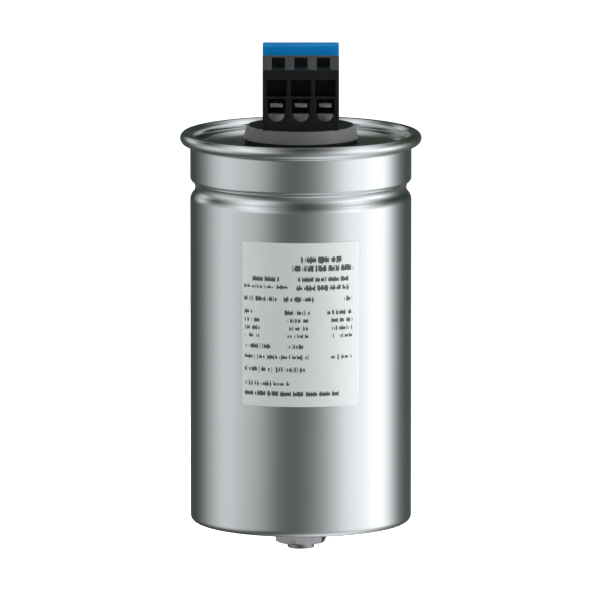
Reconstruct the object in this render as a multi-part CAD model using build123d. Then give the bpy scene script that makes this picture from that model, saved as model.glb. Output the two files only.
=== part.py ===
from build123d import *
import math
import os

# Lengths are in millimetres and angles in degrees. +Z is up, the front faces -Y,
# and the origin is the centre of the can's flat base ring.

# Fits
sliding_clearance = 0.1
loose_clearance = 0.2

# Can
can_diameter = 90.0
base_corner_radius = 2.6
base_recess_diameter = 28.0
base_recess_depth = 0.4
groove_level = 137.4
groove_depth = 2.6
groove_half_width = 4.1
groove_valley_share = 0.42
rim_level = 157.45
rim_overhang = 4.1
rim_upper_radius = 2.4
rim_lower_radius = 2.7
rim_fillet_radius = 0.9
lip_drop = 1.2
lid_bite = 1.3
lid_ledge = 0.9
lid_headroom = 1.5

# Stud with its nut and lock washer
stud_diameter = 12.0
stud_length = 11.3
stud_root_radius = 0.3
pilot_diameter = 11.0
pilot_length = 1.8
pilot_chamfer = 0.3
nut_across_flats = 19.0
nut_thickness = 7.0
nut_chamfer_angle = 30.0
nut_turn = 19.5
washer_diameter = 20.5
washer_ring_width = 2.6
washer_thickness = 1.0
tooth_count = 8
tooth_width = 3.0
tooth_twist = 30.0

# Label
label_width = 50.7
label_height = 66.9
label_level = 53.8
label_thickness = 0.2
adhesive_thickness = 0.1
label_corner_radius = 1.0

# Lid
lid_thickness = 1.2
swage_inset = 3.2
swage_bottom_width = 1.6
swage_flank_width = 0.9
swage_depth = 1.1
swage_radius = 0.7

# Gasket and terminal base
gasket_diameter = 45.4
gasket_thickness = 1.3
base_diameter = 46.8
base_thickness = 5.15
base_draft = 1.5
base_edge_radius = 0.5
collar_wall = 2.2
spigot_diameter = 28.0
spigot_reach = 0.6
peg_diameter = 3.0
peg_height = 2.5
peg_spacing = 18.0
peg_setback = 11.8

# Terminal body
pole_count = 3
pole_pitch = 9.87
body_front = 17.0
body_back = 15.0
body_height = 24.6
body_edge_radius = 0.5
flange_thickness = 1.2
end_wall = 1.48
front_wall = 2.2
chamber_width = 7.6
chamber_length = 13.0
gallery_setback = 7.8
gallery_height = 5.5
channel_width = 5.4
channel_length = 10.3
channel_headroom = 0.2
entry_clearance = 0.2
entry_width = 7.3
entry_height = 12.8
funnel_depth = 0.3
pocket_width = 8.3
pocket_height = 6.75
pocket_depth = 7.2
pocket_level = 13.8
shaft_diameter = 6.2
shaft_depth = 4.6

# Clamp cages, contact bars and clamp screws
jaw_radius = 3.25
jaw_level = 6.65
jaw_inset = 0.8
jaw_length = 12.4
strap_thickness = 0.65
strap_width = 4.4
cage_reach = 3.2
cage_plate_thickness = 2.0
cage_plate_length = 5.6
wire_gap = 2.6
bar_width = 5.0
bar_thickness = 1.65
bar_inset = 1.2
bar_length = 23.8
leg_width = 4.0
leg_thickness = 1.5
leg_setback = 17.6
leg_reach = 0.9
screw_setback = 11.0
shank_diameter = 3.6
head_diameter = 5.6
head_height = 2.5
slot_width = 0.9
slot_depth = 1.1

# Resistor module
comb_pitch = 9.1
comb_thickness = 1.8
comb_height = 5.8
comb_window_width = 5.4
lintel_height = 0.65
comb_edge_radius = 0.3
side_arm = 1.6
tray_setback = 15.0
tray_length = 12.6
tray_height = 3.5
block_height = 4.35
block_edge_radius = 0.5
pin_diameter = 2.4
pin_setback = 23.0
pin_tail = 0.8
pin_seat = 2.4

# Radii and levels that follow from the sizes above
can_radius = can_diameter / 2
rim_radius = can_radius + rim_overhang
roll_centre_radius = rim_radius - rim_upper_radius
lip_radius = roll_centre_radius - rim_upper_radius
lid_radius = lip_radius + lid_bite
lid_top = rim_level - lip_drop
lid_bottom = lid_top - lid_thickness
can_top = lid_bottom - lid_headroom
spigot_radius = spigot_diameter / 2
base_bottom = lid_top + gasket_thickness
base_top = base_bottom + base_thickness
seat_level = base_top - flange_thickness
collar_bore = base_diameter - 2 * collar_wall
body_top = base_top + body_height
body_half_width = (pole_count - 1) * pole_pitch / 2 + pocket_width / 2 + end_wall
jaw_top = base_top + jaw_level
bar_bottom = jaw_top + wire_gap
bar_top = bar_bottom + bar_thickness
plate_bottom = bar_top + cage_reach
shaft_floor = body_top - shaft_depth
gallery_floor = base_top + entry_height
gallery_top = gallery_floor + gallery_height
tray_top = body_top + tray_height
washer_height = tooth_width * math.sin(math.radians(tooth_twist))
washer_height += washer_thickness * math.cos(math.radians(tooth_twist))
washer_bottom = base_recess_depth - washer_height
nut_bottom = washer_bottom - nut_thickness

# Places along Y, from the front face of the terminal body
front_y = -body_front
chamber_front_y = front_y + front_wall
chamber_back_y = chamber_front_y + chamber_length
screw_y = front_y + screw_setback
leg_y = front_y + leg_setback
pin_y = front_y + pin_setback
comb_back_y = front_y + comb_thickness
tray_y = front_y + tray_setback
tray_back_y = tray_y + tray_length


def slab(x_from, x_to, y_from, y_to, z_from, z_to):
    """A box between the given planes."""
    middle = Pos((x_from + x_to) / 2, (y_from + y_to) / 2, (z_from + z_to) / 2)
    return middle * Box(x_to - x_from, y_to - y_from, z_to - z_from)


def rod(x, y, z_from, z_to, diameter):
    """An upright cylinder between two levels."""
    return Pos(x, y, (z_from + z_to) / 2) * Cylinder(diameter / 2, z_to - z_from)


def turned(edges):
    """A solid made by turning a closed outline of radius and level around Z."""
    outline = Curve() + edges
    return revolve(Plane.XZ * make_face(outline.edges()), Axis.Z)


def pole_places(pitch):
    """The X places of the poles, centred on the axis."""
    return [(index - (pole_count - 1) / 2) * pitch for index in range(pole_count)]


def make_can():
    """Can, stud and rolled rim as one turned solid."""
    stud_radius = stud_diameter / 2
    pilot_radius = pilot_diameter / 2
    shoulder = pilot_length - stud_length
    recess_radius = base_recess_diameter / 2
    stud_line = Polyline(
        (0, can_top),
        (0, -stud_length),
        (pilot_radius - pilot_chamfer, -stud_length),
        (pilot_radius, pilot_chamfer - stud_length),
        (pilot_radius, shoulder),
        (stud_radius, shoulder),
        (stud_radius, base_recess_depth - stud_root_radius),
    )
    root = JernArc(stud_line @ 1, (0, 1), stud_root_radius, -90)
    base_line = Polyline(
        root @ 1,
        (recess_radius - base_recess_depth, base_recess_depth),
        (recess_radius, 0),
        (can_radius - base_corner_radius, 0),
    )
    corner = JernArc(base_line @ 1, (1, 0), base_corner_radius, 90)
    flank_angle = 2 * math.atan(groove_depth / groove_half_width)
    radii_sum = groove_half_width / math.sin(flank_angle)
    valley_radius = groove_valley_share * radii_sum
    shoulder_radius = radii_sum - valley_radius
    turn = math.degrees(flank_angle)
    lower_wall = Line(corner @ 1, (can_radius, groove_level - groove_half_width))
    groove_in = JernArc(lower_wall @ 1, (0, 1), shoulder_radius, turn)
    valley = JernArc(groove_in @ 1, groove_in % 1, valley_radius, -2 * turn)
    groove_out = JernArc(valley @ 1, valley % 1, shoulder_radius, turn)
    roll_bottom = rim_level - rim_lower_radius
    upper_wall = Line(groove_out @ 1, (can_radius, roll_bottom - rim_fillet_radius))
    fillet_arc = JernArc(upper_wall @ 1, (0, 1), rim_fillet_radius, -90)
    roll_start = Line(fillet_arc @ 1, (rim_radius - rim_lower_radius, roll_bottom))
    roll_lower = JernArc(roll_start @ 1, (1, 0), rim_lower_radius, 90)
    roll_upper = JernArc(roll_lower @ 1, (0, 1), rim_upper_radius, 180)
    ledge_radius = lip_radius - lid_ledge
    slot_radius = lid_radius + sliding_clearance
    inside = Polyline(
        roll_upper @ 1,
        (lip_radius, lid_top),
        (slot_radius, lid_top),
        (slot_radius, lid_bottom),
        (ledge_radius, lid_bottom),
        (ledge_radius, can_top),
        (0, can_top),
    )
    outline = [stud_line, root, base_line, corner, lower_wall, groove_in, valley, groove_out]
    outline += [upper_wall, fillet_arc, roll_start, roll_lower, roll_upper, inside]
    return turned(outline)


def make_lid():
    """Lid of sheet metal with a round swage near its edge and a hole for the terminal base."""
    hole_radius = spigot_radius + loose_clearance
    middle = lip_radius - swage_inset
    bottom_half = swage_bottom_width / 2
    top_half = bottom_half + swage_flank_width
    swage = [
        (middle + top_half, 0),
        (middle + bottom_half, -swage_depth),
        (middle - bottom_half, -swage_depth),
        (middle - top_half, 0),
    ]
    upper = [(radius, lid_top + level) for radius, level in swage]
    lower = [(radius, lid_bottom + level) for radius, level in reversed(swage)]
    outline = FilletPolyline(
        (lid_radius, lid_bottom),
        (lid_radius, lid_top),
        *upper,
        (hole_radius, lid_top),
        (hole_radius, lid_bottom),
        *lower,
        radius=[0, 0] + [swage_radius] * len(upper) + [0, 0] + [swage_radius] * len(lower),
        close=True,
    )
    return turned([outline])


def make_gasket():
    """Rubber ring under the terminal base."""
    hole = rod(0, 0, lid_top, base_bottom, spigot_diameter + 2 * sliding_clearance)
    return rod(0, 0, lid_top, base_bottom, gasket_diameter) - hole


def peg_places():
    """The two locating pegs of the terminal base."""
    return [(-peg_spacing / 2, peg_setback), (peg_spacing / 2, peg_setback)]


def make_terminal_base():
    """Tapered round base with a seat for the body's flange, a spigot through the lid, pegs and leg slots."""
    base_radius = base_diameter / 2
    middle = Pos(0, 0, (base_bottom + base_top) / 2)
    disc = middle * Cone(base_radius, base_radius - base_draft, base_thickness)
    rims = disc.edges().filter_by(GeomType.CIRCLE).sort_by(Axis.Z)
    disc = fillet(rims[-1], base_edge_radius)
    low = lid_bottom - spigot_reach
    base = disc + rod(0, 0, low, base_bottom, spigot_diameter)
    base -= rod(0, 0, seat_level, base_top, collar_bore)
    for x, y in peg_places():
        base += rod(x, y, seat_level, seat_level + peg_height, peg_diameter)
    half = leg_width / 2 + sliding_clearance
    for x in pole_places(pole_pitch):
        y_from = leg_y - sliding_clearance
        y_to = leg_y + leg_thickness + sliding_clearance
        base -= slab(x - half, x + half, y_from, y_to, low, seat_level)
    return base


def entry_outline(x, spread):
    """Wire entry seen from the front: a wide upper part and a half-round bottom around the jaw."""
    upper = Rectangle(entry_width + 2 * spread, gallery_floor - jaw_top)
    lower = Circle(jaw_radius + entry_clearance + spread)
    return Pos(x, (jaw_top + gallery_floor) / 2) * upper + Pos(x, jaw_top) * lower


def make_terminal_body():
    """Moulded block on a round flange, with a wire entry, a pocket and a screw shaft for each pole."""
    width = body_half_width
    body = slab(-width, width, front_y, body_back, base_top, body_top)
    upright = body.edges().filter_by(Axis.Z)
    body = fillet(upright, body_edge_radius)
    body += rod(0, 0, seat_level, base_top, collar_bore - 2 * sliding_clearance)
    half = chamber_width / 2
    channel_half = channel_width / 2
    channel_top = bar_top + channel_headroom
    channel_back = chamber_back_y + channel_length
    pocket_bottom = base_top + pocket_level
    face = Plane(origin=(0, front_y, 0), x_dir=(1, 0, 0), z_dir=(0, -1, 0))
    for x in pole_places(pole_pitch):
        body -= slab(x - half, x + half, chamber_front_y, chamber_back_y, seat_level, gallery_floor)
        gallery_front = front_y + gallery_setback
        body -= slab(x - half, x + half, gallery_front, chamber_back_y, gallery_floor, gallery_top)
        body -= slab(
            x - channel_half, x + channel_half, chamber_back_y, channel_back, seat_level, channel_top
        )
        body -= extrude(face * entry_outline(x, 0), amount=-front_wall)
        funnel_faces = [face * entry_outline(x, funnel_depth)]
        funnel_faces += [face.offset(-funnel_depth) * entry_outline(x, 0)]
        body -= loft(funnel_faces)
        pocket_half = pocket_width / 2
        body -= slab(
            x - pocket_half,
            x + pocket_half,
            front_y,
            front_y + pocket_depth,
            pocket_bottom,
            pocket_bottom + pocket_height,
        )
        body -= rod(x, screw_y, shaft_floor, body_top, shaft_diameter)
        body -= rod(x, screw_y, gallery_top, shaft_floor, shank_diameter + 2 * loose_clearance)
        body -= rod(x, pin_y, channel_top, body_top, pin_diameter + 2 * loose_clearance)
    for x, y in peg_places():
        top = seat_level + peg_height + loose_clearance
        body -= rod(x, y, seat_level, top, peg_diameter + 2 * sliding_clearance)
    return body


def make_wire_cage(x):
    """Clamp cage: half-round jaw, two straps and a top plate that the screw goes through."""
    jaw_front = front_y + jaw_inset
    plane = Plane(origin=(x, jaw_front, jaw_top), x_dir=(1, 0, 0), z_dir=(0, -1, 0))
    lower_half = Pos(0, -jaw_radius / 2) * Rectangle(2 * jaw_radius, jaw_radius)
    cage = extrude(plane * (Circle(jaw_radius) & lower_half), amount=-jaw_length)
    plate_top = plate_bottom + cage_plate_thickness
    strap_from = screw_y - strap_width / 2
    strap_to = screw_y + strap_width / 2
    strap_low = jaw_top - strap_thickness
    inner = jaw_radius - strap_thickness
    cage += slab(x - jaw_radius, x - inner, strap_from, strap_to, strap_low, plate_top)
    cage += slab(x + inner, x + jaw_radius, strap_from, strap_to, strap_low, plate_top)
    plate_from = screw_y - cage_plate_length / 2
    plate_to = screw_y + cage_plate_length / 2
    cage += slab(x - jaw_radius, x + jaw_radius, plate_from, plate_to, plate_bottom, plate_top)
    return cage - rod(x, screw_y, plate_bottom, plate_top, shank_diameter + 2 * sliding_clearance)


def make_contact_bar(x):
    """Flat bar from the wire entry to the module pin, with a leg down through the terminal base."""
    half = bar_width / 2
    bar_front = front_y + bar_inset
    bar = slab(x - half, x + half, bar_front, bar_front + bar_length, bar_bottom, bar_top)
    leg_half = leg_width / 2
    leg_low = lid_bottom - leg_reach
    bar += slab(x - leg_half, x + leg_half, leg_y, leg_y + leg_thickness, leg_low, bar_bottom)
    return bar - rod(x, pin_y, bar_bottom, bar_top, pin_diameter + 2 * sliding_clearance)


def make_clamp_screw(x):
    """Slotted screw whose tip stands on the contact bar."""
    head_top = shaft_floor + head_height
    screw = rod(x, screw_y, bar_top, shaft_floor, shank_diameter)
    screw += rod(x, screw_y, shaft_floor, head_top, head_diameter)
    half = slot_width / 2
    reach = head_diameter / 2
    slot = slab(x - reach, x + reach, screw_y - half, screw_y + half, head_top - slot_depth, head_top)
    return screw - slot


def make_module_pin(x):
    """Round pin from the tray down through the contact bar."""
    return rod(x, pin_y, bar_bottom - pin_tail, body_top + pin_seat, pin_diameter)


def make_module_comb():
    """Front comb of the resistor module: four posts under a lintel, with a window for each pole."""
    width = body_half_width
    comb_top = body_top + comb_height
    comb = slab(-width, width, front_y, comb_back_y, body_top, comb_top)
    upright = comb.edges().filter_by(Axis.Z).group_by(Axis.Y)[0]
    comb = fillet(upright, comb_edge_radius)
    half = comb_window_width / 2
    window_top = comb_top - lintel_height
    for x in pole_places(comb_pitch):
        comb -= slab(x - half, x + half, front_y, comb_back_y, body_top, window_top)
    return comb


def make_module_carrier():
    """Tray of the resistor module, with side arms that reach the comb and leave the screws open."""
    width = body_half_width
    carrier = slab(-width, width, comb_back_y, tray_back_y, body_top, tray_top)
    carrier -= slab(side_arm - width, width - side_arm, comb_back_y, tray_y, body_top, tray_top)
    for x in pole_places(pole_pitch):
        hole_top = body_top + pin_seat
        carrier -= rod(x, pin_y, body_top, hole_top, pin_diameter + 2 * sliding_clearance)
    return carrier


def make_resistor_block():
    """Potted block with rounded upper edges."""
    width = body_half_width
    block = slab(-width, width, tray_y, tray_back_y, tray_top, tray_top + block_height)
    rounded = block.edges().filter_by(Axis.Z) + block.edges().group_by(Axis.Z)[-1]
    return fillet(rounded, block_edge_radius)


def make_label():
    """Thin label that follows the can's wall, with rounded corners."""
    inner = can_radius + adhesive_thickness
    outer = inner + label_thickness
    shell = Pos(0, 0, label_level + label_height / 2) * (
        Cylinder(outer, label_height) - Cylinder(inner, label_height)
    )
    chord = 2 * can_radius * math.sin(label_width / can_diameter)
    plane = Plane(origin=(0, 0, label_level + label_height / 2), x_dir=(1, 0, 0), z_dir=(0, -1, 0))
    window = extrude(
        plane * RectangleRounded(chord, label_height, label_corner_radius), amount=can_diameter
    )
    return shell & window


def make_lock_washer():
    """Ring with inner teeth that are twisted out of its plane."""
    middle = (base_recess_depth + washer_bottom) / 2
    outer = washer_diameter / 2
    inner = outer - washer_ring_width
    half = washer_thickness / 2
    washer = rod(0, 0, middle - half, middle + half, washer_diameter)
    washer -= rod(0, 0, middle - half, middle + half, 2 * inner)
    tooth_inner = stud_diameter / 2 + stud_root_radius + sliding_clearance
    tooth_outer = inner + washer_thickness
    tooth_middle = (tooth_inner + tooth_outer) / 2
    tooth = Box(tooth_outer - tooth_inner, tooth_width, washer_thickness)
    for index in range(tooth_count):
        turn = index * 360 / tooth_count
        place = Pos(0, 0, middle) * Rot(0, 0, turn) * Pos(tooth_middle, 0, 0)
        washer += place * Rot(tooth_twist, 0, 0) * tooth
    return washer


def make_hex_nut():
    """Low hexagon nut with its corners turned down on both faces."""
    flat_radius = nut_across_flats / 2
    corner_radius = flat_radius / math.cos(math.radians(30))
    drop = (corner_radius - flat_radius) * math.tan(math.radians(nut_chamfer_angle))
    outline = Rot(0, 0, nut_turn) * RegularPolygon(flat_radius, 6, major_radius=False)
    prism = extrude(Pos(0, 0, nut_bottom) * outline, amount=nut_thickness)
    turned_outline = Polyline(
        (0, nut_bottom),
        (flat_radius, nut_bottom),
        (corner_radius, nut_bottom + drop),
        (corner_radius, washer_bottom - drop),
        (flat_radius, washer_bottom),
        (0, washer_bottom),
        close=True,
    )
    bore = rod(0, 0, nut_bottom, washer_bottom, stud_diameter + 2 * sliding_clearance)
    return (prism & turned([turned_outline])) - bore


pieces = {
    "can": make_can(),
    "lid": make_lid(),
    "terminal_gasket": make_gasket(),
    "terminal_base": make_terminal_base(),
    "terminal_body": make_terminal_body(),
    "module_comb": make_module_comb(),
    "module_carrier": make_module_carrier(),
    "resistor_block": make_resistor_block(),
    "label": make_label(),
    "lock_washer": make_lock_washer(),
    "hex_nut": make_hex_nut(),
}
for number, place in enumerate(pole_places(pole_pitch), start=1):
    pieces[f"wire_cage_{number}"] = make_wire_cage(place)
    pieces[f"contact_bar_{number}"] = make_contact_bar(place)
    pieces[f"clamp_screw_{number}"] = make_clamp_screw(place)
    pieces[f"module_pin_{number}"] = make_module_pin(place)

os.makedirs("parts", exist_ok=True)
for name, piece in pieces.items():
    export_step(piece, f"parts/{name}.step")
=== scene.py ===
"""A round power capacitor in a pale studio: turned aluminium, a moulded terminal block and a label.

Sizes are named in millimetres, as on a drawing, and become metres where a mesh is made.
"""

import math

import bmesh
import bpy
import numpy as np
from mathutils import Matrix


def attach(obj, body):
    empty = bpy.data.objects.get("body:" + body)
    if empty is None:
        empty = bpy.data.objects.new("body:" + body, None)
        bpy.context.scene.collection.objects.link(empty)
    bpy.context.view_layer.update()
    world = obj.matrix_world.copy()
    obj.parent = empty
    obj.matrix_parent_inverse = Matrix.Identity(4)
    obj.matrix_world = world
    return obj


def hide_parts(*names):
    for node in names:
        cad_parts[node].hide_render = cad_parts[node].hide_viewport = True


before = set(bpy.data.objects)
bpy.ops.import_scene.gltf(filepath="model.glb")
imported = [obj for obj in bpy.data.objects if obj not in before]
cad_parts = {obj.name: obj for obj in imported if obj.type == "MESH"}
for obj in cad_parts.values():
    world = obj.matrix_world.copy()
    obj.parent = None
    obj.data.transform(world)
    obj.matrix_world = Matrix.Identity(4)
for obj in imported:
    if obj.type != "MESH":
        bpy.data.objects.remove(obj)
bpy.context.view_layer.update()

MM = 0.001
TURN_COLUMNS = 160
SAME_POINT = 1e-6
CREASE_ANGLE = math.radians(35)
BODY = "root"
BLACK = (0, 0, 0, 1)
WHITE = (1, 1, 1, 1)

# Can
can_radius = 45.0
base_corner_radius = 2.6
base_recess_radius = 14.0
base_recess_depth = 0.4
groove_level = 137.3
groove_depth = 2.0
groove_upper_half = 4.0
groove_lower_half = 5.0
groove_upper_valley_share = 0.72
groove_lower_valley_share = 0.42
rim_level = 157.45
rim_overhang = 4.1
rim_upper_radius = 2.4
rim_lower_radius = 2.7
rim_fillet_radius = 0.9
lip_drop = 1.2
lid_bite = 1.3
lid_ledge = 0.9
lid_headroom = 1.5
slot_clearance = 0.1

# Stud and its thread
stud_radius = 6.0
stud_length = 11.3
stud_root_radius = 0.3
stud_dullness = 0.25
stud_painted_shade = 0.42
pilot_radius = 5.5
pilot_length = 1.8
pilot_chamfer = 0.3
thread_pitch = 1.75
thread_depth = 0.95
thread_flank_slope = 2.6
thread_crest_width = 0.55
thread_flank_reach = 1.3
thread_runout = 1.2
thread_rows = 72
thread_band = 0.1

# Lid
lid_thickness = 1.2
lid_hole_radius = 14.2
swage_inset = 3.2
swage_bottom_width = 1.6
swage_flank_width = 0.9
swage_depth = 1.1
swage_ease = 1.6
swage_rows = 40
ring_radians_per_metre = 9000.0

# Label
label_width = 50.7
label_height = 66.9
label_level = 53.8
label_radius = 45.3
label_thickness = 0.2
label_corner_radius = 1.0
label_rows = 40
label_columns = 48

# Moulded and pressed pieces
merge_distance = 0.002
flat_angle = math.radians(0.5)
edge_segments = 2

# Painted shade on the clamp parts that lie deep in the body
painted_shade_fade = 4.0
painted_shade_share = 0.12

# Levels and radii that follow
rim_radius = can_radius + rim_overhang
lip_radius = rim_radius - 2 * rim_upper_radius
lid_radius = lip_radius + lid_bite
lid_top = rim_level - lip_drop
lid_bottom = lid_top - lid_thickness
can_top = lid_bottom - lid_headroom


def arc(centre, radius, start, end, count):
    """Points of a circle arc in the half section, from one angle in degrees to another."""
    angle = np.radians(np.linspace(start, end, count))
    return np.column_stack([centre[0] + radius * np.cos(angle), centre[1] + radius * np.sin(angle)])


def straight(first, last, count):
    """Points of a straight run, denser at both ends (a cosine ease), so that shading stays flat."""
    share = (1 - np.cos(np.linspace(0, np.pi, count))) / 2
    return np.asarray(first) + share[:, None] * (np.asarray(last) - np.asarray(first))


def joined(*runs):
    """The runs one after another, without the points that two runs share."""
    points = np.vstack([np.atleast_2d(run) for run in runs])
    step = np.linalg.norm(np.diff(points, axis=0), axis=1)
    return points[np.concatenate([[True], step > SAME_POINT])]


def groove_half(half_width, valley_share):
    """The groove's lower half: an outward arc and then an inward one, which meet on one tangent.

    Both turn by 2 atan(depth / half width), and their radii add up to half width / sin(turn).
    """
    turn = 2 * math.atan(groove_depth / half_width)
    radii_sum = half_width / math.sin(turn)
    valley = valley_share * radii_sum
    crest = radii_sum - valley
    turn_degrees = math.degrees(turn)
    return joined(
        arc((can_radius - crest, groove_level - half_width), crest, 0, turn_degrees, count=18),
        arc((can_radius - groove_depth + valley, groove_level), valley, 180 + turn_degrees, 180, count=16),
    )


def can_profile():
    """Half section of the can as rows of (radius, level), from the stud's tip to the floor under the lid.

    The groove's upper half is a lower half turned over about the groove's level.
    """
    tip = -stud_length
    shoulder = pilot_length - stud_length
    chamfer_end = pilot_chamfer - stud_length
    root_radius = stud_radius + stud_root_radius
    root_level = base_recess_depth - stud_root_radius
    thread_levels = np.linspace(shoulder, root_level, thread_rows)
    recess_edge = base_recess_radius - base_recess_depth
    corner_centre = can_radius - base_corner_radius
    groove_bottom = groove_level - groove_lower_half
    groove_top = groove_level + groove_upper_half
    groove_upper = groove_half(groove_upper_half, groove_upper_valley_share)[::-1]
    fillet_level = rim_level - rim_lower_radius - rim_fillet_radius
    ledge_radius = lip_radius - lid_ledge
    slot_radius = lid_radius + slot_clearance
    inside = [
        (lip_radius, lid_top),
        (slot_radius, lid_top),
        (slot_radius, lid_bottom),
        (ledge_radius, lid_bottom),
        (ledge_radius, can_top),
        (0, can_top),
    ]
    return joined(
        (0, tip),
        straight((pilot_radius - pilot_chamfer, tip), (pilot_radius, chamfer_end), count=2),
        straight((pilot_radius, chamfer_end), (pilot_radius, shoulder), count=4),
        np.column_stack([np.full(thread_rows, stud_radius), thread_levels]),
        arc((root_radius, root_level), stud_root_radius, 180, 90, count=5),
        straight((root_radius, base_recess_depth), (recess_edge, base_recess_depth), count=6),
        straight((base_recess_radius, 0), (corner_centre, 0), count=8),
        arc((corner_centre, base_corner_radius), base_corner_radius, -90, 0, count=16),
        straight((can_radius, base_corner_radius), (can_radius, groove_bottom), count=24),
        groove_half(groove_lower_half, groove_lower_valley_share),
        groove_upper * (1, -1) + (0, 2 * groove_level),
        straight((can_radius, groove_top), (can_radius, fillet_level), count=10),
        arc((can_radius + rim_fillet_radius, fillet_level), rim_fillet_radius, 180, 90, count=8),
        arc((rim_radius - rim_lower_radius, rim_level), rim_lower_radius, -90, 0, count=16),
        arc((rim_radius - rim_upper_radius, rim_level), rim_upper_radius, 0, 180, count=30),
        inside,
    )


def thread_cut(level, angle):
    """Depth of the thread at each level and angle: a blunt saw along the helix that fades at both ends."""
    low = pilot_length - stud_length
    wave = (level / thread_pitch - angle / (2 * np.pi)) % 1
    flank = thread_flank_slope * np.abs(2 * wave - 1) - thread_crest_width
    valley = np.clip(flank, 0, thread_flank_reach) / thread_flank_reach
    fade = np.clip((level - low) / thread_runout, 0, 1) * np.clip(-level / thread_runout, 0, 1)
    return thread_depth * valley * fade


def lid_profile():
    """Closed section of the lid: a flat ring with a pressed groove near its edge, with eased flanks.

    A flank falls by the depth times 1 - s^2 (3 - 2 s), where s runs from 0 at its foot to 1 at its top.
    """
    middle = lip_radius - swage_inset
    foot = swage_bottom_width / 2
    reach = swage_ease * (foot + swage_flank_width)
    offset = np.linspace(-reach, reach, swage_rows)
    ease = np.clip((np.abs(offset) - foot) / (reach - foot), 0, 1)
    dip = -swage_depth * (1 - ease * ease * (3 - 2 * ease))
    swage = np.column_stack([middle + offset, dip])
    top = joined(
        straight((lid_radius, 0), (middle + reach, 0), count=4),
        swage[::-1],
        straight((middle - reach, 0), (lid_hole_radius, 0), count=16),
    )
    return np.vstack([top + (0, lid_top), top[::-1] + (0, lid_bottom)])


def turned_mesh(name, profile, cut=None, closed=False):
    """Surface of revolution: row i and column j lie at (r_i cos a_j, r_i sin a_j, z_i), a_j evenly spaced.

    An open profile starts and ends on the axis, where one point closes it. A cut takes depth off the stud.
    """
    angle = np.arange(TURN_COLUMNS) * 2 * np.pi / TURN_COLUMNS
    rows = profile if closed else profile[1:-1]
    radius = rows[:, :1] + np.zeros(TURN_COLUMNS)
    level = rows[:, 1:] + np.zeros(TURN_COLUMNS)
    if cut is not None:
        radius = radius - cut(level, angle) * (np.abs(radius - stud_radius) < thread_band)
    points = np.stack([radius * np.cos(angle), radius * np.sin(angle), level], axis=-1).reshape(-1, 3)
    index = np.arange(len(rows) * TURN_COLUMNS).reshape(len(rows), TURN_COLUMNS)
    if closed:
        index = np.vstack([index, index[:1]])
    index = np.hstack([index, index[:, :1]])
    corners = [index[:-1, :-1], index[:-1, 1:], index[1:, 1:], index[1:, :-1]]
    faces = np.stack(corners, axis=-1).reshape(-1, 4).tolist()
    if not closed:
        low, high = len(points), len(points) + 1
        poles = [(0, 0, profile[0, 1]), (0, 0, profile[-1, 1])]
        points = np.vstack([points, poles])
        first, last = index[0], index[-1]
        faces += np.column_stack([np.full(TURN_COLUMNS, low), first[1:], first[:-1]]).tolist()
        faces += np.column_stack([last[:-1], last[1:], np.full(TURN_COLUMNS, high)]).tolist()
    mesh = bpy.data.meshes.new(name)
    mesh.from_pydata((points * MM).tolist(), [], faces)
    return mesh


def label_mesh(name):
    """Curved label front: u runs along the arc and v down it, and the corner arcs narrow its ends.

    A point lies at (R sin a, -R cos a, top - v) with a = u / R. The print's UV map is u and v as shares.
    """
    ease = (1 - np.cos(np.linspace(0, np.pi, label_rows))) / 2
    down = label_height * ease
    edge = np.minimum(down, label_height - down)
    inset = np.clip(label_corner_radius - edge, 0, None)
    half = label_width / 2 - label_corner_radius + np.sqrt(label_corner_radius**2 - inset**2)
    along = half[:, None] * np.linspace(-1, 1, label_columns)
    angle = along / label_radius
    level = np.broadcast_to((label_level + label_height - down)[:, None], along.shape)
    points = np.stack([label_radius * np.sin(angle), -label_radius * np.cos(angle), level], axis=-1)
    index = np.arange(along.size).reshape(along.shape)
    corners = [index[:-1, :-1], index[1:, :-1], index[1:, 1:], index[:-1, 1:]]
    faces = np.stack(corners, axis=-1).reshape(-1, 4)
    mesh = bpy.data.meshes.new(name)
    mesh.from_pydata((points.reshape(-1, 3) * MM).tolist(), [], faces.tolist())
    across = (along + label_width / 2) / label_width
    place = np.stack([across, np.repeat(ease[:, None], label_columns, 1)], axis=-1)
    layer = mesh.uv_layers.new(name="print")
    layer.data.foreach_set("uv", place.reshape(-1, 2)[faces.reshape(-1)].astype(np.float32).reshape(-1))
    return mesh


def moulded_mesh(name, node):
    """The node's own solid as one closed mesh, with the triangles of each flat face joined."""
    made = bmesh.new()
    made.from_mesh(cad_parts[node].data)
    bmesh.ops.remove_doubles(made, verts=made.verts[:], dist=merge_distance * MM)
    bmesh.ops.dissolve_limit(made, angle_limit=flat_angle, verts=made.verts[:], edges=made.edges[:])
    mesh = bpy.data.meshes.new(name)
    made.to_mesh(mesh)
    made.free()
    return mesh


class Value:
    """A number that varies over a surface. Its operators add Math nodes to the finish it belongs to."""

    def __init__(self, finish, socket):
        self.finish = finish
        self.socket = socket

    def __add__(self, other):
        return self.finish.math("ADD", self, other)

    def __sub__(self, other):
        return self.finish.math("SUBTRACT", self, other)

    def __rsub__(self, other):
        return self.finish.math("SUBTRACT", other, self)

    def __mul__(self, other):
        return self.finish.math("MULTIPLY", self, other)

    def __gt__(self, other):
        return self.finish.math("GREATER_THAN", self, other)

    def __lt__(self, other):
        return self.finish.math("LESS_THAN", self, other)

    __radd__ = __add__
    __rmul__ = __mul__


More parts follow.
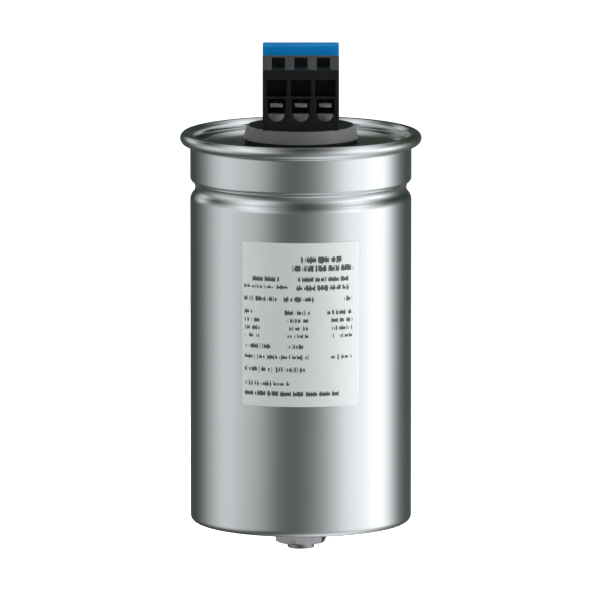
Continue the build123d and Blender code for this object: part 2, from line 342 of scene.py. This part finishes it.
class Finish:
    """A procedural material, or the world: a shader, its constants and the nodes that feed the rest."""

    def __init__(self, slot, owner=None, shader="Principled BSDF", place="Object", **constants):
        self.slot = slot
        self.owner = bpy.data.materials.new(slot) if owner is None else owner
        self.owner.use_nodes = True
        self.tree = self.owner.node_tree
        self.shader = self.tree.nodes[shader]
        self.place = self.node("ShaderNodeTexCoord", {}, {}, place)
        self.feed(**constants)

    def node(self, kind, settings, sockets, output=0):
        """Adds a node, with its settings and then its sockets' values or links, and returns one output."""
        made = self.tree.nodes.new(kind)
        for name, setting in settings.items():
            if name == "stops":
                self.set_stops(made.color_ramp, setting)
            else:
                setattr(made, name, setting)
        for name, value in sockets.items():
            self.join(made.inputs[name], value)
        return Value(self, made.outputs[output])

    def outputs(self, kind, sockets, names):
        """Adds a node and returns several of its outputs."""
        made = self.node(kind, {}, sockets).socket.node
        return [Value(self, made.outputs[name]) for name in names]

    def math(self, operation, first, second=0.0):
        """One Math node on one or two numbers."""
        return self.node("ShaderNodeMath", {"operation": operation}, {0: first, 1: second})

    def set_stops(self, ramp, stops):
        """Gives a colour ramp its stops, each held up to the next one."""
        ramp.interpolation = "CONSTANT"
        ramp.elements.remove(ramp.elements[-1])
        ramp.elements[0].position, ramp.elements[0].color = stops[0]
        for position, colour in stops[1:]:
            ramp.elements.new(position).color = colour

    def join(self, socket, value):
        """Links a varying value to a socket, or sets a constant on it."""
        if isinstance(value, Value):
            self.tree.links.new(value.socket, socket)
        else:
            socket.default_value = value

    def feed(self, **sockets):
        """Feeds the shader: Base_Color and the like name its sockets."""
        for name, value in sockets.items():
            self.join(self.shader.inputs[name.replace("_", " ")], value)

    def noise(self, scale, detail, stretch=(1, 1, 1)):
        """A soft random field from 0 to 1, about `scale` cells to a metre, stretched along the axes."""
        mapped = self.node("ShaderNodeMapping", {}, {"Vector": self.place, "Scale": stretch})
        sockets = {"Vector": mapped, "Scale": scale, "Detail": detail}
        return self.node("ShaderNodeTexNoise", {}, sockets, "Fac")

    def random(self, cell, seed):
        """A random number from 0 to 1 for each whole cell and seed."""
        pair = self.node("ShaderNodeCombineXYZ", {}, {"X": cell, "Y": seed})
        return self.node("ShaderNodeTexWhiteNoise", {"noise_dimensions": "2D"}, {"Vector": pair})

    def step(self, value, start, end):
        """A smooth step of a value from 0 at start to 1 at end."""
        sockets = {"Value": value, "From Min": start, "From Max": end}
        return self.node("ShaderNodeMapRange", {"interpolation_type": "SMOOTHSTEP"}, sockets)

    def blend(self, share, first, second, clamp=True):
        """A colour between two colours. The Mix node's colour sockets are its seventh and eighth."""
        settings = {"data_type": "RGBA", "clamp_factor": clamp}
        return self.node("ShaderNodeMix", settings, {0: share, 6: first, 7: second}, 2)

    def split(self, vector):
        """The three parts of a vector or colour."""
        return self.outputs("ShaderNodeSeparateXYZ", {"Vector": vector}, ("X", "Y", "Z"))

    def relief(self, height, depth):
        """Feeds the shader's normal with a relief of the given depth in millimetres."""
        bump = self.node("ShaderNodeBump", {}, {"Height": height, "Distance": depth * MM})
        self.feed(Normal=bump)


def shade(colour, share=1.0):
    """A colour, made darker or lighter by a share, that covers fully."""
    return [min(1.0, share * part) for part in colour] + [1]


def drawn_aluminium(slot, colour, roughness):
    """Satin drawn metal: faint streaks along the can's axis and a soft cloud, in its tone and its gloss.

    The stud, which is all that lies below the base, is duller, and darker by painted shade.
    """
    dark_share = 0.93
    streak_share = 0.5
    sheen = 0.04
    streak_wear = 0.05
    cloud_wear = 0.04
    metal = Finish(slot, Metallic=1.0)
    streaks = metal.noise(scale=420, detail=3.0, stretch=(1, 1, 0.02))
    fine = metal.noise(scale=2600, detail=1.0, stretch=(1, 1, 0.01))
    cloud = metal.noise(scale=45, detail=3.0)
    stud = metal.split(metal.place)[2] < 0.0
    tone = streak_share * streaks + (1 - streak_share) * cloud
    wall = metal.blend(tone, shade(colour, dark_share), shade(colour))
    # Painted shade: the stud's colour is darkened below the base
    metal.feed(Base_Color=metal.blend(stud, wall, shade(colour, stud_painted_shade)))
    worn = roughness - sheen + streak_wear * streaks + cloud_wear * cloud
    metal.feed(Roughness=worn + stud_dullness * stud)
    metal.relief(streak_share * streaks + (1 - streak_share) * fine, depth=0.004)
    return metal


def spun_aluminium(slot, colour, roughness):
    """Pressed sheet: a slow cloud in its tone and gloss, with a faint ring grain around the axis."""
    dark_share = 0.9
    cloud_share = 0.8
    ring_share = 0.1
    wear = 0.04
    metal = Finish(slot, Metallic=1.0)
    x, y, _ = metal.split(metal.place)
    rings = metal.math("SINE", metal.math("SQRT", x * x + y * y) * ring_radians_per_metre)
    cloud = metal.noise(scale=60, detail=3.0)
    tone = cloud_share * cloud + ring_share * rings
    metal.feed(Base_Color=metal.blend(tone, shade(colour, dark_share), shade(colour)))
    metal.feed(Roughness=roughness - wear / 2 + wear * cloud)
    return metal


def plated_steel(slot, colour, roughness, painted_shade_from=None):
    """Zinc or tin plate on pressed steel: cloudy tone, fine tooling grain and soft wear in the gloss.

    Behind a given Y, deep in the body, a part's tone is darkened with painted shade, which fades in over a
    short way before that Y.
    """
    dark_share = 0.72
    wear = 0.16
    metal = Finish(slot, Metallic=1.0)
    cloud = metal.noise(scale=260, detail=4.0)
    grain = metal.noise(scale=3200, detail=2.0)
    patches = metal.step(cloud, start=0.25, end=0.7)
    tone = metal.blend(patches, shade(colour, dark_share), shade(colour))
    if painted_shade_from is not None:
        # Painted shade: the tone darkens behind the given Y, deep inside the body
        depth = metal.split(metal.place)[1]
        painted_shade_mask = metal.step(depth, (painted_shade_from - painted_shade_fade) * MM, painted_shade_from * MM)
        tone = metal.blend(painted_shade_mask, tone, shade(colour, painted_shade_share))
    metal.feed(Base_Color=tone)
    metal.feed(Roughness=roughness - wear / 2 + wear * cloud)
    metal.relief(grain, depth=0.012)
    return metal


def moulded_plastic(slot, colour, roughness, gloss):
    """Injection moulding: spark-eroded grain and slow flow marks in the tone and the gloss."""
    dark_share = 0.82
    light_share = 1.22
    flow_share = 0.75
    wear = 0.12
    plastic = Finish(slot, Specular_IOR_Level=gloss)
    flow = plastic.noise(scale=70, detail=2.0, stretch=(1, 1, 0.35))
    grain = plastic.noise(scale=3600, detail=2.0)
    tone = flow_share * flow + (1 - flow_share) * grain
    plastic.feed(Base_Color=plastic.blend(tone, shade(colour, dark_share), shade(colour, light_share)))
    plastic.feed(Roughness=roughness - wear / 2 + wear * grain)
    plastic.relief(grain, depth=0.02)
    return plastic


def potted_resin(slot, colour, roughness, gloss):
    """Glossy cast resin: a slow mottling of its colour and a faint sag in its skin."""
    dark_share = 0.85
    light_share = 1.12
    wear = 0.1
    resin = Finish(slot, Specular_IOR_Level=gloss)
    mottle = resin.noise(scale=140, detail=3.0)
    skin = resin.noise(scale=420, detail=2.0)
    resin.feed(Base_Color=resin.blend(mottle, shade(colour, dark_share), shade(colour, light_share)))
    resin.feed(Roughness=roughness + wear * mottle)
    resin.relief(skin, depth=0.03)
    return resin


def soft_rubber(slot, colour, dusty_colour, roughness, gloss):
    """Matt rubber with a dusty bloom."""
    wear = 0.2
    rubber = Finish(slot, Specular_IOR_Level=gloss)
    bloom = rubber.noise(scale=300, detail=4.0)
    rubber.feed(Base_Color=rubber.blend(bloom, shade(colour), shade(dusty_colour)))
    rubber.feed(Roughness=roughness + wear * bloom)
    rubber.relief(bloom, depth=0.03)
    return rubber


# Print of the label. The strokes of a row fill these shares of its upper, middle and lower band.
fine_print = (0.26, 0.72, 0.16)
bold_print = (0.6, 0.95, 0.28)
band_ends = (0.26, 0.84, 1.0)

# For each column of print, rows of (top, height, left end, right end, print)
print_left = [
    (13.8, 2.1, 4.8, 16.5, bold_print),
    (17.1, 1.7, 1.4, 20.2, fine_print),
    (21.8, 2.2, 1.4, 16.4, fine_print),
    (27.3, 2.0, 1.5, 5.0, fine_print),
    (30.6, 1.9, 1.6, 8.2, fine_print),
    (33.8, 1.9, 1.6, 8.3, fine_print),
    (37.0, 1.9, 1.6, 8.1, fine_print),
    (41.2, 2.0, 1.6, 12.9, fine_print),
    (45.6, 2.0, 1.6, 28.6, fine_print),
    (50.6, 2.2, 1.6, 27.2, fine_print),
    (56.4, 2.2, 1.6, 21.0, fine_print),
    (60.4, 2.3, 1.6, 41.0, bold_print),
]
print_middle = [
    (21.8, 2.3, 18.0, 31.0, fine_print),
    (27.3, 2.2, 18.5, 29.0, fine_print),
    (30.6, 1.9, 19.7, 28.3, fine_print),
    (33.8, 1.9, 19.8, 28.2, fine_print),
    (37.0, 1.9, 19.9, 28.4, fine_print),
    (41.2, 2.0, 19.7, 26.4, fine_print),
]
print_right = [
    (5.3, 2.9, 25.4, 43.1, bold_print),
    (9.0, 2.7, 21.7, 47.4, bold_print),
    (13.8, 2.0, 24.2, 45.2, bold_print),
    (17.2, 2.2, 23.5, 45.3, bold_print),
    (21.8, 2.2, 43.3, 46.8, fine_print),
    (27.3, 2.2, 36.1, 47.0, fine_print),
    (30.6, 1.9, 37.6, 47.0, fine_print),
    (33.8, 1.9, 37.7, 46.9, fine_print),
    (37.0, 1.9, 37.5, 46.8, fine_print),
    (45.6, 2.0, 37.4, 46.6, fine_print),
]
stroke_pitch = 0.36
word_pitch = 5.3
gap_share = 0.14
rows_in_table = 7
seed_of_start = 91
seed_of_end = 57

# Label film and its ink
film_dark = (0.80, 0.825, 0.83)
film_light = (0.89, 0.915, 0.92)
ink_colour = (0.02, 0.02, 0.022)
ink_cover = 0.88


def print_mask(film, across, down, rows):
    """How much ink some rows of print lay down: words of thin strokes, with a few taller and lower ones.

    A ramp down the label holds the left end, the right end and the share of strokes of each band.
    """
    stops = [(0.0, BLACK)]
    for top, height, start, end, band_shares in rows:
        level = top
        for band_end, share in zip(band_ends, band_shares):
            stops.append((level / label_height, (start / label_width, end / label_width, share, 1)))
            level = top + band_end * height
        stops.append((level / label_height, BLACK))
    table = film.node("ShaderNodeValToRGB", {"stops": stops}, {"Fac": down}, "Color")
    start, end, share = film.split(table)
    seed = seed_of_start * start + seed_of_end * end
    stroke_cell = film.math("FLOOR", across * (label_width / stroke_pitch))
    strokes = film.random(stroke_cell, seed) < share
    words = film.math("FRACT", across * (label_width / word_pitch) + seed) > gap_share
    return (across > start) * (across < end) * strokes * words


def label_film(slot, roughness, gloss, silver):
    """Silvered film, cloudy and faintly grained, with rows of broken dark bars as its print."""
    cloud_share = 0.6
    wear = 0.08
    film = Finish(slot, Specular_IOR_Level=gloss, Metallic=silver)
    place = film.node("ShaderNodeUVMap", {"uv_map": "print"}, {})
    across, down, _ = film.split(place)
    ink = 0.0
    for column in (print_left, print_middle, print_right):
        for first in range(0, len(column), rows_in_table):
            ink = print_mask(film, across, down, column[first : first + rows_in_table]) + ink
    cloud = film.noise(scale=90, detail=3.0)
    grain = film.noise(scale=1500, detail=2.0)
    tone = cloud_share * cloud + (1 - cloud_share) * grain
    sheet = film.blend(tone, shade(film_dark), shade(film_light))
    film.feed(Base_Color=film.blend(ink * ink_cover, sheet, shade(ink_colour)))
    film.feed(Roughness=roughness + wear * grain)
    film.relief(grain, depth=0.004)
    return film


def add_piece(mesh, finish, node):
    """Links a mesh as a piece of the part, smooth but for its creases, in place of its CAD node."""
    mesh.materials.clear()
    mesh.materials.append(finish.owner)
    mesh.shade_smooth()
    piece = bpy.data.objects.new(mesh.name, mesh)
    bpy.context.scene.collection.objects.link(piece)
    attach(piece, BODY)
    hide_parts(node)
    return piece


def add_turned(name, profile, finish, node, cut=None, closed=False):
    """A turned piece with its creases kept sharp."""
    piece = add_piece(turned_mesh(name, profile, cut, closed), finish, node)
    piece.data.set_sharp_from_angle(angle=CREASE_ANGLE)


def add_label(finish):
    """The label: its front face, given its thickness inwards."""
    piece = add_piece(label_mesh("label_sheet"), finish, "label")
    wall = piece.modifiers.new("film", "SOLIDIFY")
    wall.thickness = label_thickness * MM
    wall.offset = -1.0


def add_moulded(node, finish, edge):
    """A CAD node's solid with every sharp edge rounded to the given radius."""
    piece = add_piece(moulded_mesh(node + "_finished", node), finish, node)
    bevel = piece.modifiers.new("edges", "BEVEL")
    bevel.width = edge * MM
    bevel.segments = edge_segments
    bevel.limit_method = "ANGLE"
    bevel.angle_limit = CREASE_ANGLE
    bevel.harden_normals = True


# Finishes
can_finish = drawn_aluminium("can_aluminium", colour=(0.86, 0.87, 0.88), roughness=0.12)
lid_finish = spun_aluminium("lid_aluminium", colour=(0.41, 0.42, 0.42), roughness=0.1)
film_finish = label_film("label_film", roughness=0.34, gloss=0.5, silver=0.33)
gasket_finish = soft_rubber(
    "gasket_rubber",
    colour=(0.006, 0.006, 0.006),
    dusty_colour=(0.02, 0.02, 0.019),
    roughness=0.7,
    gloss=0.25,
)
base_finish = moulded_plastic("base_grey", colour=(0.165, 0.162, 0.168), roughness=0.45, gloss=0.35)
body_finish = moulded_plastic("body_black", colour=(0.0092, 0.0112, 0.0105), roughness=0.5, gloss=0.22)
comb_finish = moulded_plastic("comb_grey", colour=(0.066, 0.069, 0.07), roughness=0.5, gloss=0.3)
carrier_finish = moulded_plastic("carrier_black", colour=(0.008, 0.009, 0.009), roughness=0.5, gloss=0.2)
block_finish = potted_resin("block_blue", colour=(0.002, 0.24, 0.64), roughness=0.3, gloss=0.2)
nut_finish = plated_steel("nut_zinc", colour=(0.5, 0.495, 0.51), roughness=0.32)
washer_finish = plated_steel("washer_zinc", colour=(0.5, 0.5, 0.51), roughness=0.36)
# The cage straps that lie deep in the body get painted shade in their tone
cage_finish = plated_steel("cage_steel", colour=(0.5, 0.5, 0.5), roughness=0.4, painted_shade_from=-8.5)
bar_finish = plated_steel("bar_tinned", colour=(0.55, 0.55, 0.54), roughness=0.36)
screw_finish = plated_steel("screw_steel", colour=(0.5, 0.5, 0.5), roughness=0.34)
pin_finish = plated_steel("pin_brass", colour=(0.62, 0.48, 0.22), roughness=0.3)

# Pieces
add_turned("can_shell", can_profile(), can_finish, "can", cut=thread_cut)
add_turned("lid_sheet", lid_profile(), lid_finish, "lid", closed=True)
add_label(film_finish)
add_moulded("terminal_gasket", gasket_finish, edge=0.12)
add_moulded("terminal_base", base_finish, edge=0.15)
add_moulded("terminal_body", body_finish, edge=0.14)
add_moulded("module_comb", comb_finish, edge=0.12)
add_moulded("module_carrier", carrier_finish, edge=0.12)
add_moulded("resistor_block", block_finish, edge=0.15)
add_moulded("hex_nut", nut_finish, edge=0.2)
add_moulded("lock_washer", washer_finish, edge=0.08)
for pole in (1, 2, 3):
    add_moulded(f"wire_cage_{pole}", cage_finish, edge=0.12)
    add_moulded(f"contact_bar_{pole}", bar_finish, edge=0.12)
    add_moulded(f"clamp_screw_{pole}", screw_finish, edge=0.12)
    add_moulded(f"module_pin_{pole}", pin_finish, edge=0.15)

# Studio: metres from here on
studio_middle = (0.0, 0.0, 0.1)
floor_level = -0.30
floor_reach = 40.0
floor_tone = 0.9
tent_radius = 4.0
tent_rows = 60
tent_dark = (0.012, 0.025, 0.012, 1)
tent_bright = (1.05, 1.075, 1.095, 1)
sky_level = 0.5
sky_top_level = 0.15
sky_fall_start = 0.2
sky_fall_end = 0.9

# Cloths of the light tent and one dark flag: azimuth, elevation, tightness and level
cloths = [
    (-46, 12, 13, 0.60),
    (-65, 43, 15, 0.78),
    (-112, 62, 26, 0.72),
    (-151, 55, 60, 0.65),
    (-150, 25, 60, 0.42),
    (-132, 16, 46, 0.52),
    (-86, -5, 6.4, 0.60),
    (-136, 56, 18, -0.20),
    (55, 13, 10, 0.80),
    (77, 46, 16, 0.82),
    (124, 60, 38, 0.74),
    (160, 49, 50, 0.50),
    (92, -6, 15, 0.78),
    (84, -70, 14, 0.50),
    (65, -27, 3.4, 0.56),
    (155, -60, 33, 0.56),
    (50, -80, 14, 0.20),
    (0, 5, 5, 0.022),
    (178, -22, 9, 0.09),
]

# Lamps: name, azimuth, elevation, distance, size and level
lamps = [
    ("key", 70, 12, 2.2, 1.2, 0.75),
    ("fill", -70, 12, 2.4, 1.4, 0.25),
    ("back", 180, 45, 2.4, 1.4, 0.6),
]

# Camera
view_target = (0.00189, 0.0, 0.09086)
view_azimuth = 0.0
view_elevation = 8.67
view_distance = 5.094
lens_length = 737.2


def toward(azimuth, elevation):
    """The direction at an azimuth from the front, positive to the right, and an elevation, in degrees."""
    turn, rise = math.radians(azimuth), math.radians(elevation)
    return (math.sin(turn) * math.cos(rise), -math.cos(turn) * math.cos(rise), math.sin(rise))


def add_facing(name, data, target, azimuth, elevation, distance):
    """A lamp or camera at a distance and direction from a target, with its -Z towards that target."""
    placed = bpy.data.objects.new(name, data)
    away = toward(azimuth, elevation)
    placed.location = [middle + distance * part for middle, part in zip(target, away)]
    placed.rotation_euler = (math.radians(90 - elevation), 0.0, math.radians(azimuth))
    bpy.context.scene.collection.objects.link(placed)
    return placed


def add_stage(mesh, finish):
    """Links a mesh as a piece of the studio."""
    mesh.materials.append(finish.owner)
    staged = bpy.data.objects.new(mesh.name, mesh)
    bpy.context.scene.collection.objects.link(staged)
    return staged


def ray_share(finish):
    """1 for what the camera sees straight, in a mirror or through glass, and 0 for scattered light."""
    names = ("Is Camera Ray", "Is Glossy Ray", "Is Transmission Ray")
    camera, glossy, transmission = finish.outputs("ShaderNodeLightPath", {}, names)
    return camera + glossy + transmission


def add_floor():
    """A wide pale floor, whose own glow lifts it to white. Reflections see the tent in its place."""
    pale = Finish("floor_pale", Roughness=0.9, Specular_IOR_Level=0.0, Emission_Strength=1.0)
    pale.feed(Base_Color=shade((floor_tone, floor_tone, floor_tone)))
    pale.feed(Emission_Color=pale.blend(ray_share(pale), BLACK, WHITE))
    sides = [(-1, -1), (1, -1), (1, 1), (-1, 1)]
    corners = [(floor_reach * x, floor_reach * y, floor_level) for x, y in sides]
    mesh = bpy.data.meshes.new("floor")
    mesh.from_pydata(corners, [], [(0, 1, 2, 3)])
    floor = add_stage(mesh, pale)
    floor.visible_glossy = False


def add_tent():
    """A round light tent that only reflections see: a sphere of soft bright cloths on a dim ground.

    A cloth adds level * e^(tightness * (cos a - 1)), where a is the angle from the middle of the cloth.
    """
    cloth = Finish("tent_cloth", Roughness=1.0, Specular_IOR_Level=0.0, Emission_Strength=1.0)
    cloth.feed(Base_Color=BLACK)
    from_middle = {0: cloth.place, 1: studio_middle}
    offset = cloth.node("ShaderNodeVectorMath", {"operation": "SUBTRACT"}, from_middle)
    direction = cloth.node("ShaderNodeVectorMath", {"operation": "NORMALIZE"}, {0: offset})
    total = 0.0
    for azimuth, elevation, tightness, level in cloths:
        sockets = {0: direction, 1: toward(azimuth, elevation)}
        facing = cloth.node("ShaderNodeVectorMath", {"operation": "DOT_PRODUCT"}, sockets, "Value")
        total = level * cloth.math("POWER", math.e, tightness * facing - tightness) + total
    cloth.feed(Emission_Color=cloth.blend(total, tent_dark, tent_bright, clamp=False))
    slope = np.radians(np.linspace(-90, 90, tent_rows))
    outline = np.column_stack([np.cos(slope), np.sin(slope)]) * tent_radius + (0, studio_middle[2])
    tent = add_stage(turned_mesh("tent", outline / MM), cloth)
    tent.visible_camera = False
    tent.visible_diffuse = False
    tent.visible_transmission = False
    tent.visible_shadow = False


def add_lamp(name, azimuth, elevation, distance, size, level):
    """A square soft lamp that lights a facing white surface at the object to the given level.

    A lamp of energy E at distance d lights it to E / (pi d)^2.
    """
    lamp = bpy.data.lights.new(name, "AREA")
    lamp.size = size
    lamp.energy = level * (math.pi * distance) ** 2
    placed = add_facing(name, lamp, studio_middle, azimuth, elevation, distance)
    placed.visible_glossy = False


def add_world():
    """Light from all round, weaker from above, and white to the camera."""
    world = bpy.data.worlds.new("studio")
    sky = Finish("studio", world, shader="Background", place="Generated")
    sockets = {
        "Value": sky.split(sky.place)[2],
        "From Min": sky_fall_start,
        "From Max": sky_fall_end,
        "To Min": sky_level,
        "To Max": sky_top_level,
    }
    light = sky.node("ShaderNodeMapRange", {}, sockets)
    seen = sky.node("ShaderNodeLightPath", {}, {}, "Is Camera Ray")
    sky.feed(Color=sky.blend(seen, light, WHITE))
    bpy.context.scene.world = world


def add_camera():
    """A long lens at the photograph's height and distance."""
    camera = bpy.data.cameras.new("camera")
    camera.lens = lens_length
    placed = add_facing("camera", camera, view_target, view_azimuth, view_elevation, view_distance)
    bpy.context.scene.camera = placed


add_floor()
add_tent()
for lamp_row in lamps:
    add_lamp(*lamp_row)
add_world()
add_camera()
bpy.context.scene.view_settings.view_transform = "Standard"
